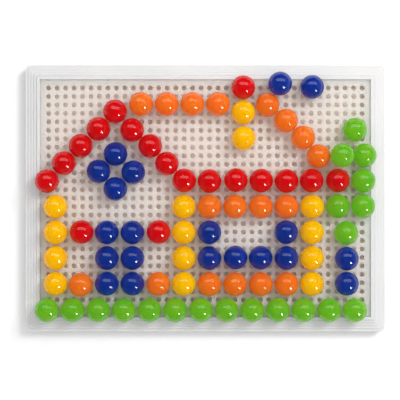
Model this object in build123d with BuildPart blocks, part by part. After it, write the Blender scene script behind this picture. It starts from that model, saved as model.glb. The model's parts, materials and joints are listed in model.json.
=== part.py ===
"""Mosaic pegboard toy: a perforated plate in a stepped frame, with ball-headed pegs set out as a house,
a tree and a strip of grass.

Millimetres. +X runs along the board's long side, +Y up the picture, +Z up off the table.
The origin is under the middle of the board, on the surface that the frame stands on.
"""

import os
from math import hypot, radians, sqrt, tan

from build123d import *

# ---- peg grid -------------------------------------------------------------------------------------
PITCH = 5.5  # hole to hole, the same both ways
COLUMNS = 38
ROWS = 27
HOLE_DIAMETER = 3.2
BORDER = PITCH  # outermost hole centres to the edge of the frame's opening

# ---- plate ----------------------------------------------------------------------------------------
PLATE_TOP = 10.0  # height of the pegging surface above the table
PLATE_THICKNESS = 2.0
PLATE_LAP = 2.4  # how far the plate runs in under the frame's lip
POCKET_GAP = 0.1  # sideways play of the plate in its pocket

# ---- frame ----------------------------------------------------------------------------------------
TERRACES = 5
TREAD = 1.95
RISER = 0.7
RING_ABOVE_PLATE = 1.0  # top terrace over the pegging surface
SKIRT_WALL = 1.8
OUTER_CORNER = 3.0  # corner radius of the lowest terrace
CORNER_STEP = 0.5  # each terrace's corner is this much tighter than the one below
EDGE_ROUND = 0.25
UNDERSIDE = 6.9  # height of the hollow under the terraces
BEAD_LENGTH = 12.0  # snap beads that carry the plate
BEAD_DEPTH = 0.9
BEAD_HEIGHT = 1.0
BEADS_LONG = 4  # along each long side
BEADS_SHORT = 3  # along each short side

# ---- peg ------------------------------------------------------------------------------------------
HEAD_RADIUS = 7.65
HEAD_RIM = 2.2  # the head's lower rim over the collar's seat
HEAD_CENTRE = 5.8  # the ball's centre over the collar's seat
COLLAR_RADIUS = 2.3
PIN_RADIUS = 1.3
PIN_LENGTH = 9.0
SEAT_GAP = 0.1  # a seated collar stands this far off the plate

# ---- worked out -----------------------------------------------------------------------------------
OPENING_X = (COLUMNS - 1) * PITCH + 2 * BORDER
OPENING_Y = (ROWS - 1) * PITCH + 2 * BORDER
BOARD_X = OPENING_X + 2 * TERRACES * TREAD
BOARD_Y = OPENING_Y + 2 * TERRACES * TREAD
RING_TOP = PLATE_TOP + RING_ABOVE_PLATE
OUTER_TOP = RING_TOP - (TERRACES - 1) * RISER
PLATE_X = OPENING_X + 2 * PLATE_LAP
PLATE_Y = OPENING_Y + 2 * PLATE_LAP
POCKET_X = PLATE_X + 2 * POCKET_GAP
POCKET_Y = PLATE_Y + 2 * POCKET_GAP
PLATE_UNDERSIDE = PLATE_TOP - PLATE_THICKNESS

# ---- where the pegs stand, as (column, row) counted from the top left hole --------------------------
SINGLE_PEGS = {
    "sky_peg_left": (27, 0),
    "sky_peg_right": (31, 0),
    "gable_peg_top": (8, 8),
    "gable_peg_left": (6, 10),
    "gable_peg_right": (10, 10),
    "gable_peg_bottom": (8, 12),
    "chimney_cap_peg": (23, 0),
    "chimney_peg_upper": (23, 3),
    "chimney_peg_lower": (23, 6),
    "side_window_peg_left": (4, 17),
    "side_window_peg_right": (13, 17),
    "sill_peg_left": (4, 23),
    "sill_peg_right": (13, 23),
    "trunk_peg_upper": (35, 20),
    "trunk_peg_lower": (35, 23),
}
NUMBERED_PEGS = {
    "left_roof_peg": [(8, 3), (6, 5), (10, 5), (4, 7), (12, 7), (2, 9), (14, 9), (0, 11), (16, 11)],
    "right_roof_peg": [(26 + 2 * step, 2 + 2 * step) for step in range(4)],
    "eaves_peg": [(column, 11) for column in range(19, 35, 3)],
    "window_peg": [(19, 17), (28, 17)] + [(column, 20) for column in (19, 22, 25, 28)],
    "tree_peg": [(36, 5), (34, 8), (37, 8), (37, 11), (34, 14), (37, 14), (35, 17)],
}
PEG_GROUPS = {
    "ridge_pegs": [(column, 2) for column in (11, 14, 17, 20)],
    "door_pegs": [(column, row) for row in (17, 20, 23) for column in (7, 10)],
    "upper_wall_pegs": [(column, 14) for column in (19, 22, 25, 28)],
    "lower_wall_pegs": [(column, 23) for column in (19, 22, 25, 28)],
    "left_column_pegs": [(1, row) for row in (14, 17, 20, 23)],
    "middle_column_pegs": [(16, row) for row in (14, 17, 20, 23)],
    "right_column_pegs": [(31, row) for row in (14, 17, 20, 23)],
    "grass_pegs": [(column, 26) for column in range(0, 37, 3)],
}

# Pegs that stand crooked in their holes: degrees towards +X and towards +Y, and how far they have
# ridden up. Heads two holes apart each way nearly touch, so neighbours lean much alike. Two pegs whose
# holes are nearer than that lean away from each other, and one of them rides higher.
LEANING_PEGS = {
    # left roof, from the ridge down its left slope and then down its right slope
    (8, 3): (-1.0, 6.0, 0.0),
    (6, 5): (1.0, 4.0, 0.0),
    (4, 7): (-2.0, 5.0, 0.0),
    (2, 9): (-1.0, 4.0, 0.0),
    (10, 5): (-2.0, -2.0, 0.0),
    (12, 7): (3.0, 4.0, 0.0),
    (14, 9): (1.0, 2.0, 0.0),
    (16, 11): (2.0, 3.0, 0.0),
    # gable and chimney
    (8, 8): (1.0, 7.0, 0.0),
    (6, 10): (2.0, 6.0, 0.0),
    (10, 10): (4.0, 1.0, 0.0),
    (8, 12): (0.0, 4.0, 0.0),
    (23, 0): (-2.0, -2.0, 0.0),
    (23, 3): (-2.0, 1.0, 0.0),
    # right roof, and the two crowded pegs beside it
    (27, 0): (5.0, 7.0, 5.0),
    (26, 2): (-9.0, -4.0, 0.0),
    (28, 4): (-3.0, 3.0, 0.0),
    (30, 6): (-2.0, 4.0, 0.0),
    (32, 8): (-11.0, -4.0, 0.0),
    (34, 8): (9.0, -1.0, 6.5),
    # tree
    (37, 8): (5.0, 0.0, 0.0),
    (37, 11): (0.0, 2.0, 0.0),
    (34, 14): (0.0, 2.0, 0.0),
    (37, 14): (-2.0, 4.0, 0.0),
    (35, 17): (-1.0, -4.0, 0.0),
    (35, 20): (2.0, -3.0, 0.0),
    (35, 23): (2.0, 0.0, 0.0),
    # eaves, windows and sill
    (22, 11): (4.0, 5.0, 0.0),
    (25, 11): (2.0, 2.0, 0.0),
    (31, 11): (-3.0, 2.0, 0.0),
    (34, 11): (0.0, 3.0, 0.0),
    (4, 17): (3.0, 2.0, 0.0),
    (13, 17): (2.0, 2.0, 0.0),
    (28, 17): (-2.0, 1.0, 0.0),
    (22, 20): (2.0, 3.0, 0.0),
    (25, 20): (-1.0, 2.0, 0.0),
    (4, 23): (-2.0, -5.0, 0.0),
}
# rows whose pegs all lean the same way
LEANING_ROWS = {
    "lower_wall_pegs": (0.0, -2.0, 0.0),
    "grass_pegs": (0.0, -4.0, 0.0),
}
for row_name, row_lean in LEANING_ROWS.items():
    LEANING_PEGS.update({place: row_lean for place in PEG_GROUPS[row_name]})

os.makedirs("parts", exist_ok=True)


def hole_xy(place):
    """The centre of the hole at (column, row)."""
    column, row = place
    return (column - (COLUMNS - 1) / 2) * PITCH, ((ROWS - 1) / 2 - row) * PITCH


def peg_plane(place):
    """The plane whose origin is the middle of a peg's seat and whose Z runs up the peg's pin.

    A crooked peg turns about the middle of its hole, and its collar's low side keeps the seat gap.
    """
    lean_x, lean_y, lift = LEANING_PEGS.get(place, (0.0, 0.0, 0.0))
    slope = hypot(tan(radians(lean_x)), tan(radians(lean_y)))
    up = Vector(tan(radians(lean_x)), tan(radians(lean_y)), 1).normalized()
    rise = COLLAR_RADIUS * slope / sqrt(1 + slope * slope)
    along = (PLATE_THICKNESS / 2 + SEAT_GAP + rise) / up.Z + lift
    pivot = Vector(*hole_xy(place), PLATE_TOP - PLATE_THICKNESS / 2)
    return Plane(origin=pivot + up * along, x_dir=Vector(up.Z, 0, -up.X), z_dir=up)


def half_chord(radius, offset):
    """Half the length of a circle's chord that lies this far from its centre."""
    return sqrt(radius * radius - offset * offset)


def make_pegs(name, places):
    """Writes one node that holds a ball-headed peg in each of these holes.

    A peg is a ball with a flat underside, a collar and a round-ended pin, all turned about one axis.
    """
    rim_radius = half_chord(HEAD_RADIUS, HEAD_CENTRE - HEAD_RIM)
    diagonal = sqrt(0.5)
    with BuildPart() as pegs:
        for place in places:
            seat = peg_plane(place)
            with BuildSketch(Plane(origin=seat.origin, x_dir=seat.x_dir, z_dir=-seat.y_dir)):
                with BuildLine():
                    shank = Polyline(
                        (PIN_RADIUS, PIN_RADIUS - PIN_LENGTH),
                        (PIN_RADIUS, 0),
                        (COLLAR_RADIUS, 0),
                        (COLLAR_RADIUS, HEAD_RIM),
                        (rim_radius, HEAD_RIM),
                    )
                    ball = ThreePointArc(
                        shank @ 1,
                        (HEAD_RADIUS * diagonal, HEAD_CENTRE + HEAD_RADIUS * diagonal),
                        (0, HEAD_CENTRE + HEAD_RADIUS),
                    )
                    axis = Line(ball @ 1, (0, -PIN_LENGTH))
                    ThreePointArc(
                        axis @ 1,
                        (PIN_RADIUS * diagonal, PIN_RADIUS * (1 - diagonal) - PIN_LENGTH),
                        shank @ 0,
                    )
                make_face()
            revolve(axis=Axis(seat.origin, seat.z_dir))
    pegs.part.label = name
    export_step(pegs.part, f"parts/{name}.step")


# ---- perforated plate -----------------------------------------------------------------------------
with BuildPart() as peg_plate:
    with BuildSketch(Plane.XY.offset(PLATE_UNDERSIDE)):
        Rectangle(PLATE_X, PLATE_Y)
        with GridLocations(PITCH, PITCH, COLUMNS, ROWS):
            Circle(HOLE_DIAMETER / 2, mode=Mode.SUBTRACT)
    extrude(amount=PLATE_THICKNESS)
peg_plate.part.label = "peg_plate"
export_step(peg_plate.part, "parts/peg_plate.step")

# ---- stepped frame --------------------------------------------------------------------------------
with BuildPart() as stepped_frame:
    for level in range(TERRACES):
        step_in = 2 * level * TREAD
        with BuildSketch():
            RectangleRounded(BOARD_X - step_in, BOARD_Y - step_in, OUTER_CORNER - level * CORNER_STEP)
        extrude(amount=OUTER_TOP + level * RISER)
        fillet(stepped_frame.edges().group_by(Axis.Z)[-1], radius=EDGE_ROUND)
    # hollow inside the skirt, then the pocket that the plate sits in, then the opening above it
    with BuildSketch():
        Rectangle(BOARD_X - 2 * SKIRT_WALL, BOARD_Y - 2 * SKIRT_WALL)
    extrude(amount=UNDERSIDE, mode=Mode.SUBTRACT)
    with BuildSketch(Plane.XY.offset(UNDERSIDE)):
        Rectangle(POCKET_X, POCKET_Y)
    extrude(amount=PLATE_TOP - UNDERSIDE, mode=Mode.SUBTRACT)
    with BuildSketch(Plane.XY.offset(PLATE_TOP)):
        Rectangle(OPENING_X, OPENING_Y)
    extrude(amount=RING_ABOVE_PLATE, mode=Mode.SUBTRACT)
    # snap beads under the plate's edge, along all four sides of the pocket
    with BuildSketch(Plane.XY.offset(PLATE_UNDERSIDE)):
        with GridLocations(POCKET_X / BEADS_LONG, POCKET_Y - BEAD_DEPTH, BEADS_LONG, 2):
            Rectangle(BEAD_LENGTH, BEAD_DEPTH)
        with GridLocations(POCKET_X - BEAD_DEPTH, POCKET_Y / BEADS_SHORT, 2, BEADS_SHORT):
            Rectangle(BEAD_DEPTH, BEAD_LENGTH)
    extrude(amount=-BEAD_HEIGHT)
stepped_frame.part.label = "stepped_frame"
export_step(stepped_frame.part, "parts/stepped_frame.step")

# ---- pegs -----------------------------------------------------------------------------------------
for peg_name, peg_place in SINGLE_PEGS.items():
    make_pegs(peg_name, [peg_place])
for peg_name, peg_places in NUMBERED_PEGS.items():
    for number, peg_place in enumerate(peg_places, start=1):
        make_pegs(f"{peg_name}_{number}", [peg_place])
for group_name, group_places in PEG_GROUPS.items():
    make_pegs(group_name, group_places)
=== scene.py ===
"""Looks of the mosaic pegboard toy: its plastics, the table it lies on, the studio light and the camera."""

import json
import logging
from dataclasses import dataclass
from enum import Enum
from typing import Any

import bpy
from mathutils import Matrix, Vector


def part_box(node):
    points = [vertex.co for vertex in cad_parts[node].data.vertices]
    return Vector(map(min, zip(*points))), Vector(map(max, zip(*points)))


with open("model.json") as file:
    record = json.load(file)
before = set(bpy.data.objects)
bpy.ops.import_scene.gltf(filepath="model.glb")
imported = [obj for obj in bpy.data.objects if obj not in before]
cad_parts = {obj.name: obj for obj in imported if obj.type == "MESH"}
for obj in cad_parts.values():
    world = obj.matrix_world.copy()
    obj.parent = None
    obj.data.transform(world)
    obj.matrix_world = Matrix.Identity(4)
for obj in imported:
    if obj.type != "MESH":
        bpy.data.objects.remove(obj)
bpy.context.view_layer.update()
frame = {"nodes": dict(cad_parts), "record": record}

MM = 0.001

log = logging.getLogger("pegboard")

Colour = tuple[float, float, float]
Value = Any  # a number, a colour, a Signal or a node's output socket


class Signal:
    """A number that a material works out at each point; Python's operators add its Math nodes."""

    def __init__(self, bench: "Bench", socket: bpy.types.NodeSocket) -> None:
        """Wraps one output socket of a bench's node tree."""
        self.bench = bench
        self.socket = socket

    def _maths(self, operation: str, *values: Value) -> "Signal":
        """Adds one Math node.

        Args:
            operation: the Math node's operation.
            values: its inputs, in order, as numbers or signals.

        Returns:
            The node's result.
        """
        node = self.bench.node("ShaderNodeMath", {"operation": operation}, dict(enumerate(values)))
        return Signal(self.bench, node.outputs[0])

    def __radd__(self, other: Value) -> "Signal":
        """other + self."""
        return self._maths("ADD", other, self)

    def __mul__(self, other: Value) -> "Signal":
        """self * other."""
        return self._maths("MULTIPLY", self, other)

    def between(self, low: float, high: float) -> "Signal":
        """How far the signal has come from low to high, held within 0 and 1.

        Args:
            low: the value that gives 0.
            high: the value that gives 1.

        Returns:
            A signal from 0 to 1.
        """
        node = self.bench.node(
            "ShaderNodeMapRange", {"clamp": True}, {"Value": self, "From Min": low, "From Max": high}
        )
        return Signal(self.bench, node.outputs["Result"])


class Bench:
    """The node tree of one material, with one method that adds every node."""

    def __init__(self, name: str) -> None:
        """Starts an empty material of this name."""
        self.material = bpy.data.materials.new(name)
        self.material.use_nodes = True
        self.tree = self.material.node_tree
        self.tree.nodes.clear()

    def node(self, kind: str, settings: dict[str, Any], sockets: dict[Any, Value]) -> bpy.types.Node:
        """Adds a node.

        Args:
            kind: the node's type, such as "ShaderNodeTexNoise".
            settings: the node's own settings, set before its sockets.
            sockets: values or links, by the input's name or number.

        Returns:
            The node.
        """
        node = self.tree.nodes.new(kind)
        for name, setting in settings.items():
            setattr(node, name, setting)
        for key, value in sockets.items():
            self._feed(node.inputs[key], value)
        return node

    def _feed(self, socket: bpy.types.NodeSocket, value: Value) -> None:
        """Links a signal or an output to an input, or sets the input's own value."""
        if isinstance(value, Signal):
            self.tree.links.new(value.socket, socket)
        elif isinstance(value, bpy.types.NodeSocket):
            self.tree.links.new(value, socket)
        elif isinstance(value, tuple) and socket.type == "RGBA":
            socket.default_value = (*value, 1.0)
        else:
            socket.default_value = value

    def place(self) -> bpy.types.NodeSocket:
        """The point's place on the object at rest, in metres."""
        return self.node("ShaderNodeTexCoord", {}, {}).outputs["Object"]

    def noise(self, grain: float, detail: float = 2.0, stretch: Colour = (1.0, 1.0, 1.0)) -> Signal:
        """Cloudy noise.

        Args:
            grain: the size of one patch, in metres.
            detail: how many finer layers it has.
            stretch: how much finer it is along each axis.

        Returns:
            A signal around 0.5.
        """
        mapping = self.node("ShaderNodeMapping", {}, {"Vector": self.place(), "Scale": stretch})
        node = self.node(
            "ShaderNodeTexNoise",
            {"noise_dimensions": "3D"},
            {"Vector": mapping.outputs["Vector"], "Scale": 1 / grain, "Detail": detail},
        )
        return Signal(self, node.outputs["Fac"])

    def blend(self, factor: Value, first: Value, second: Value) -> bpy.types.NodeSocket:
        """Mixes two colours.

        Args:
            factor: 0 for the first colour, 1 for the second.
            first: a colour or a colour socket.
            second: a colour or a colour socket.

        Returns:
            The mixed colour's socket.
        """
        node = self.node("ShaderNodeMix", {"data_type": "RGBA"}, {"Factor": factor, 6: first, 7: second})
        return node.outputs[2]

    def bump(self, height: Signal, depth: float, strength: float) -> bpy.types.NodeSocket:
        """A surface normal disturbed by a height.

        Args:
            height: the height signal, 0 to 1.
            depth: what a height of 1 stands for, in metres.
            strength: how much of it shows.

        Returns:
            The normal's socket.
        """
        node = self.node("ShaderNodeBump", {}, {"Height": height, "Distance": depth, "Strength": strength})
        return node.outputs["Normal"]

    def let_through(self, shader: bpy.types.Node, glow: Colour, share: float) -> bpy.types.Node:
        """Lets part of the light through a surface.

        Args:
            shader: the shader for the rest of the light.
            glow: the colour of the light that comes through.
            share: how much comes through, 0 to 1.

        Returns:
            The mixed shader.
        """
        through = self.node("ShaderNodeBsdfTranslucent", {}, {"Color": glow})
        return self.node("ShaderNodeMixShader", {}, {0: share, 1: shader.outputs[0], 2: through.outputs[0]})

    def finish(self, shader: bpy.types.Node) -> bpy.types.Material:
        """Sends a shader to the material's output and returns the material."""
        self.node("ShaderNodeOutputMaterial", {}, {"Surface": shader.outputs[0]})
        return self.material


class Slot(Enum):
    """The record's material slots."""

    PLATE = "plate_white"
    FRAME = "frame_white"
    RED = "peg_red"
    BLUE = "peg_blue"
    GREEN = "peg_green"
    ORANGE = "peg_orange"
    YELLOW = "peg_yellow"


@dataclass(frozen=True)
class PegPlastic:
    """Polished, tinted plastic that light sinks a little way into."""

    body: Colour
    streak: Colour
    scatter: Colour
    depth: float
    milky: float
    glow: Colour
    see_through: float
    streak_grain: float = 9 * MM
    streak_stretch: Colour = (1.0, 1.0, 0.35)
    handling_grain: float = 1.1 * MM
    ripple_grain: float = 3.2 * MM
    ripple_depth: float = 0.25 * MM
    ripple_strength: float = 0.15
    polish: float = 0.07
    wear: float = 0.07
    refraction: float = 1.55

    def material(self, name: str) -> bpy.types.Material:
        """The plastic as a material.

        The shine is raised to make up for the share of the surface that only lets light through.

        Args:
            name: the material's name.

        Returns:
            The material.
        """
        bench = Bench(name)
        flow = bench.noise(self.streak_grain, 3.0, self.streak_stretch).between(0.35, 0.65)
        handling = bench.noise(self.handling_grain, 4.0).between(0.45, 0.75)
        ripple = bench.noise(self.ripple_grain, 1.0)
        shader = bench.node(
            "ShaderNodeBsdfPrincipled",
            {},
            {
                "Base Color": bench.blend(flow, self.body, self.streak),
                "Roughness": self.polish + handling * self.wear,
                "IOR": self.refraction,
                "Specular IOR Level": 0.5 / (1 - self.see_through),
                "Subsurface Weight": self.milky,
                "Subsurface Radius": self.scatter,
                "Subsurface Scale": self.depth,
                "Normal": bench.bump(ripple, self.ripple_depth, self.ripple_strength),
            },
        )
        return bench.finish(bench.let_through(shader, self.glow, self.see_through))


@dataclass(frozen=True)
class BoardPlastic:
    """White, slightly see-through moulded plastic with a satin face."""

    face: Colour
    cloud: Colour
    scatter: Colour
    depth: float
    milky: float
    roughness: float
    glow: Colour
    see_through: float
    cloud_grain: float = 38 * MM
    sheen_grain: float = 6 * MM
    sheen: float = 0.16
    satin_grain: float = 0.5 * MM
    satin_depth: float = 0.03 * MM
    satin_strength: float = 0.3
    refraction: float = 1.49

    def material(self, name: str) -> bpy.types.Material:
        """The plastic as a material.

        Args:
            name: the material's name.

        Returns:
            The material.
        """
        bench = Bench(name)
        clouds = bench.noise(self.cloud_grain).between(0.3, 0.7)
        satin = bench.noise(self.satin_grain)
        sheen = bench.noise(self.sheen_grain, 3.0)
        shader = bench.node(
            "ShaderNodeBsdfPrincipled",
            {},
            {
                "Base Color": bench.blend(clouds, self.face, self.cloud),
                "Roughness": self.roughness + sheen * self.sheen,
                "IOR": self.refraction,
                "Subsurface Weight": self.milky,
                "Subsurface Radius": self.scatter,
                "Subsurface Scale": self.depth,
                "Normal": bench.bump(satin, self.satin_depth, self.satin_strength),
            },
        )
        return bench.finish(bench.let_through(shader, self.glow, self.see_through))


@dataclass(frozen=True)
class TableTop:
    """Matt white table."""

    tone: Colour = (0.77, 0.77, 0.77)
    shade: Colour = (0.75, 0.75, 0.75)
    cloud_grain: float = 0.25
    roughness: float = 0.8

    def material(self, name: str) -> bpy.types.Material:
        """The table's surface as a material.

        Args:
            name: the material's name.

        Returns:
            The material.
        """
        bench = Bench(name)
        clouds = bench.noise(self.cloud_grain)
        shader = bench.node(
            "ShaderNodeBsdfPrincipled",
            {},
            {"Base Color": bench.blend(clouds, self.tone, self.shade), "Roughness": self.roughness},
        )
        return bench.finish(shader)


BOARD_FINISHES: dict[Slot, BoardPlastic] = {
    Slot.PLATE: BoardPlastic(
        face=(0.82, 0.96, 1.0),
        cloud=(0.80, 0.935, 0.98),
        scatter=(1.0, 0.9, 0.8),
        depth=5 * MM,
        milky=0.8,
        roughness=0.34,
        glow=(1.0, 0.82, 0.69),
        see_through=0.55,
    ),
    Slot.FRAME: BoardPlastic(
        face=(0.71, 0.71, 0.71),
        cloud=(0.68, 0.68, 0.69),
        scatter=(1.0, 0.9, 0.8),
        depth=2 * MM,
        milky=0.6,
        roughness=0.30,
        glow=(1.0, 0.95, 0.90),
        see_through=0.20,
    ),
}
PEG_FINISHES: dict[Slot, PegPlastic] = {
    Slot.RED: PegPlastic(
        body=(0.60, 0.002, 0.006),
        streak=(0.54, 0.002, 0.006),
        scatter=(1.0, 0.06, 0.05),
        depth=5 * MM,
        milky=0.9,
        glow=(1.0, 0.14, 0.12),
        see_through=0.42,
    ),
    Slot.BLUE: PegPlastic(
        body=(0.006, 0.028, 0.22),
        streak=(0.008, 0.025, 0.18),
        scatter=(0.15, 0.3, 1.0),
        depth=5 * MM,
        milky=0.8,
        glow=(0.12, 0.30, 1.0),
        see_through=0.30,
    ),
    Slot.GREEN: PegPlastic(
        body=(0.175, 0.36, 0.013),
        streak=(0.115, 0.345, 0.016),
        scatter=(0.08, 1.0, 0.08),
        depth=7 * MM,
        milky=1.0,
        glow=(0.55, 1.0, 0.20),
        see_through=0.48,
    ),
    Slot.ORANGE: PegPlastic(
        body=(0.82, 0.20, 0.016),
        streak=(0.80, 0.235, 0.018),
        scatter=(1.0, 0.12, 0.06),
        depth=7 * MM,
        milky=1.0,
        glow=(1.0, 0.45, 0.14),
        see_through=0.48,
    ),
    Slot.YELLOW: PegPlastic(
        body=(0.94, 0.53, 0.001),
        streak=(0.94, 0.58, 0.002),
        scatter=(1.0, 0.20, 0.05),
        depth=7 * MM,
        milky=1.0,
        glow=(1.0, 0.80, 0.10),
        see_through=0.48,
    ),
}


@dataclass
class Moulding:
    """One CAD node that keeps its shape and gets the finish of its slot."""

    node: str
    slot: Slot

    def dress(self, material: bpy.types.Material) -> None:
        """Puts the material in every slot of the node's object."""
        piece = frame["nodes"][self.node]
        for slot in piece.material_slots:
            slot.material = material
        log.info("%s: %s", self.node, material.name)


@dataclass
class Toy:
    """The whole toy: the board's mouldings and the pegs."""

    mouldings: list[Moulding]

    @classmethod
    def from_record(cls) -> "Toy":
        """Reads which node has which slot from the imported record."""
        parts = frame["record"]["subparts"]
        return cls([Moulding(part["node"], Slot(part["material_slot"])) for part in parts])

    def dress(self) -> None:
        """Makes each finish once and puts it on its mouldings."""
        finishes = {**BOARD_FINISHES, **PEG_FINISHES}
        materials = {slot: finish.material(slot.value + "_plastic") for slot, finish in finishes.items()}
        for moulding in self.mouldings:
            moulding.dress(materials[moulding.slot])


@dataclass
class Table:
    """The plain table that the board lies on."""

    half_width: float = 2.5
    finish: TableTop = TableTop()

    def build(self) -> bpy.types.Object:
        """Makes the table as a stage piece.

        Returns:
            The table's object.
        """
        w = self.half_width
        mesh = bpy.data.meshes.new("table")
        mesh.from_pydata([(-w, -w, 0), (w, -w, 0), (w, w, 0), (-w, w, 0)], [], [(0, 1, 2, 3)])
        table = bpy.data.objects.new("table", mesh)
        bpy.context.scene.collection.objects.link(table)
        mesh.materials.append(self.finish.material("table_white"))
        return table


class LampUse(Enum):
    """What a lamp is for."""

    LIGHT = "light"
    SHINE = "shine"


@dataclass
class Lamp:
    """A soft rectangular studio lamp that faces the board."""

    name: str
    toward: Colour
    distance: float
    size: tuple[float, float]
    power: float
    use: LampUse

    def build(self) -> bpy.types.Object:
        """Makes the lamp.

        Returns:
            The lamp's object.
        """
        data = bpy.data.lights.new(self.name, "AREA")
        data.shape = "RECTANGLE"
        data.size, data.size_y = self.size
        data.energy = self.power
        lamp = bpy.data.objects.new(self.name, data)
        bpy.context.scene.collection.objects.link(lamp)
        way = Vector(self.toward).normalized()
        lamp.location = way * self.distance
        lamp.rotation_mode = "QUATERNION"
        lamp.rotation_quaternion = (-way).to_track_quat("-Z", "Y")
        lamp.visible_camera = False
        lamp.visible_diffuse = self.use is not LampUse.SHINE
        lamp.visible_glossy = self.use is not LampUse.LIGHT
        return lamp


@dataclass
class Studio:
    """The soft light around the toy."""

    ambient: float = 0.76
    lamps: tuple[Lamp, ...] = (
        Lamp("key_softbox", (0.52, 0.42, 0.74), 1.2, (0.45, 0.45), 10.5, LampUse.LIGHT),
        Lamp("overhead_softbox", (0.05, 0.03, 1.0), 1.2, (0.8, 0.8), 3.6, LampUse.LIGHT),
        Lamp("strip_highlight", (0.57, -0.57, 0.585), 1.0, (0.16, 0.38), 4.6, LampUse.SHINE),
        Lamp("ceiling_panel", (0.05, 0.57, 0.82), 1.0, (1.6, 0.5), 4.8, LampUse.SHINE),
        Lamp("left_wall", (-0.96, 0.0, 0.28), 1.0, (1.6, 0.5), 0.5, LampUse.SHINE),
        Lamp("right_wall", (0.96, 0.0, 0.28), 1.0, (1.6, 0.5), 0.6, LampUse.SHINE),
        Lamp("near_wall", (0.0, -0.96, 0.28), 1.0, (1.6, 0.5), 0.4, LampUse.SHINE),
    )

    def build(self) -> None:
        """Makes the world's even light and the lamps."""
        world = bpy.data.worlds.new("studio")
        bpy.context.scene.world = world
        world.use_nodes = True
        background = world.node_tree.nodes["Background"]
        background.inputs["Color"].default_value = (1.0, 1.0, 1.0, 1.0)
        background.inputs["Strength"].default_value = self.ambient
        world.cycles_visibility.glossy = False
        for lamp in self.lamps:
            lamp.build()
            log.info("lamp %s", lamp.name)


@dataclass
class OverheadCamera:
    """The camera, straight above the board and looking down on its pegging surface."""

    height: float = 0.63
    view_width: float = 0.25956
    centre: tuple[float, float] = (-3.42 * MM, -1.2 * MM)
    nadir: tuple[float, float] = (4.0 * MM, -1.2 * MM)
    sensor: float = 36.0

    def build(self) -> bpy.types.Object:
        """Makes the camera and sets it as the scene's.

        Returns:
            The camera's object.
        """
        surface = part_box("peg_plate")[1].z
        data = bpy.data.cameras.new("overhead")
        data.sensor_width = self.sensor
        data.lens = self.sensor * self.height / self.view_width
        data.shift_x = (self.centre[0] - self.nadir[0]) / self.view_width
        data.shift_y = (self.centre[1] - self.nadir[1]) / self.view_width
        data.dof.use_dof = False
        camera = bpy.data.objects.new("overhead", data)
        bpy.context.scene.collection.objects.link(camera)
        camera.location = (self.nadir[0], self.nadir[1], surface + self.height)
        bpy.context.scene.camera = camera
        return camera


def main() -> None:
    """Dresses the toy and builds the table, the light and the camera around it."""
    logging.basicConfig(level=logging.INFO, format="%(name)s: %(message)s")
    bpy.context.scene.view_settings.view_transform = "Standard"
    OverheadCamera().build()
    Studio().build()
    Table().build()
    Toy.from_record().dress()


if __name__ == "__main__":
    main()
